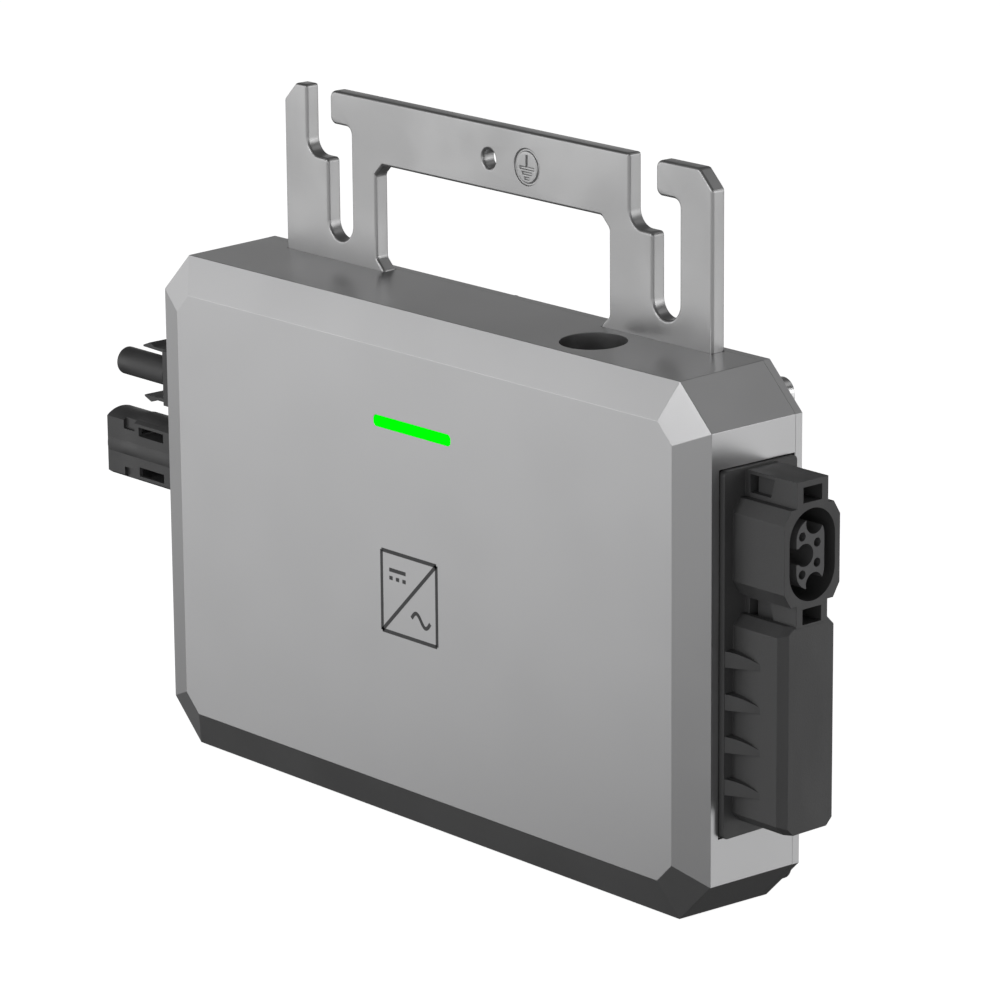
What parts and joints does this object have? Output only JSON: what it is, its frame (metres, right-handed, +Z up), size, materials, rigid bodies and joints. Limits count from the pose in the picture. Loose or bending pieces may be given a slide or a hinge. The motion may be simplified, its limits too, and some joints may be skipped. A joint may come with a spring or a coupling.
{
  "type": "micro inverter",
  "caption": "Flat grey casing with a green light bar, a slotted hanging plate on top, latching DC connectors on the left and a black mains connector on the right.",
  "frame": {"origin": "middle of the casing's flat bottom face", "axes": "+Z up towards the hanging plate, +X towards the mains connector, +Y towards the rear cover, so the front with the light bar faces -Y"},
  "size_m": [0.239, 0.0317, 0.1612],
  "materials": {
    "casing_coat": "fine grey powder coat on die-cast aluminium",
    "plate_metal": "plain stamped stainless sheet",
    "connector_black": "fine-eroded black moulding",
    "insert_grey": "smooth dark grey moulding",
    "seal_rubber": "silicone seal",
    "screw_steel": "stainless",
    "light_green": "lit green light guide",
    "contact_metal": "tin-plated copper alloy",
    "vent_plastic": "dark grey moulding",
    "membrane_white": "expanded membrane",
    "board_green": "solder mask",
    "ferrite": "sintered ferrite",
    "copper_wire": "enamelled copper",
    "component_black": "moulded epoxy",
    "component_grey": "box capacitor case",
    "capacitor_can": "sleeved aluminium can",
    "relay_case": "relay case",
    "varistor_blue": "dipped epoxy",
    "pad_grey": "thermal pad",
    "radio_can": "tinned shield can",
    "lamp_white": "lamp package"
  },
  "bodies": {
    "inverter": {"front_casing": "casing_coat", "rear_cover": "casing_coat", "cover_seal": "seal_rubber", "cover_screws": "screw_steel", "plate_screws": "screw_steel", "mounting_plate": "plate_metal", "light_pipe": "light_green", "light_seal": "seal_rubber", "status_leds": "lamp_white", "vent_body": "vent_plastic", "vent_cap": "vent_plastic", "vent_membrane": "membrane_white", "vent_seal": "seal_rubber", "dc_plug_housing": "connector_black", "dc_plug_o_ring": "seal_rubber", "dc_plug_contact": "contact_metal", "dc_plug_panel_seal": "seal_rubber", "dc_plug_nut": "connector_black", "dc_socket_housing": "connector_black", "dc_socket_pin": "contact_metal", "dc_socket_panel_seal": "seal_rubber", "dc_socket_nut": "connector_black", "ac_housing": "connector_black", "ac_gasket": "seal_rubber", "ac_insert": "insert_grey", "ac_power_pins": "contact_metal", "ac_signal_pins": "contact_metal", "ac_housing_screws": "screw_steel", "radio_board": "board_green", "radio_module": "radio_can", "main_board": "board_green", "board_screws": "screw_steel", "transformer_core": "ferrite", "transformer_coil": "copper_wire", "choke_core": "ferrite", "choke_coil": "copper_wire", "power_transistors": "component_black", "thermal_pads": "pad_grey", "dc_capacitors": "capacitor_can", "film_capacitors": "component_grey", "grid_relays": "relay_case", "varistors": "varistor_blue", "mains_fuse": "component_grey", "controller_chip": "component_black"},
    "latch_arm_upper": {"plug_latch_upper": "connector_black"},
    "latch_arm_lower": {"plug_latch_lower": "connector_black"}
  },
  "joints": [
    {"name": "upper_latch_press", "type": "hinge", "parent": "inverter", "child": "latch_arm_upper", "pos_m": [-0.0988, 0, 0.09135], "axis": [0, -1, 0], "range_deg": [0, 6], "stiffness_Nm_per_rad": 0.3},
    {"name": "lower_latch_press", "type": "hinge", "parent": "inverter", "child": "latch_arm_lower", "pos_m": [-0.0988, 0, 0.07915], "axis": [0, 1, 0], "range_deg": [0, 6], "stiffness_Nm_per_rad": 0.3}
  ]
}
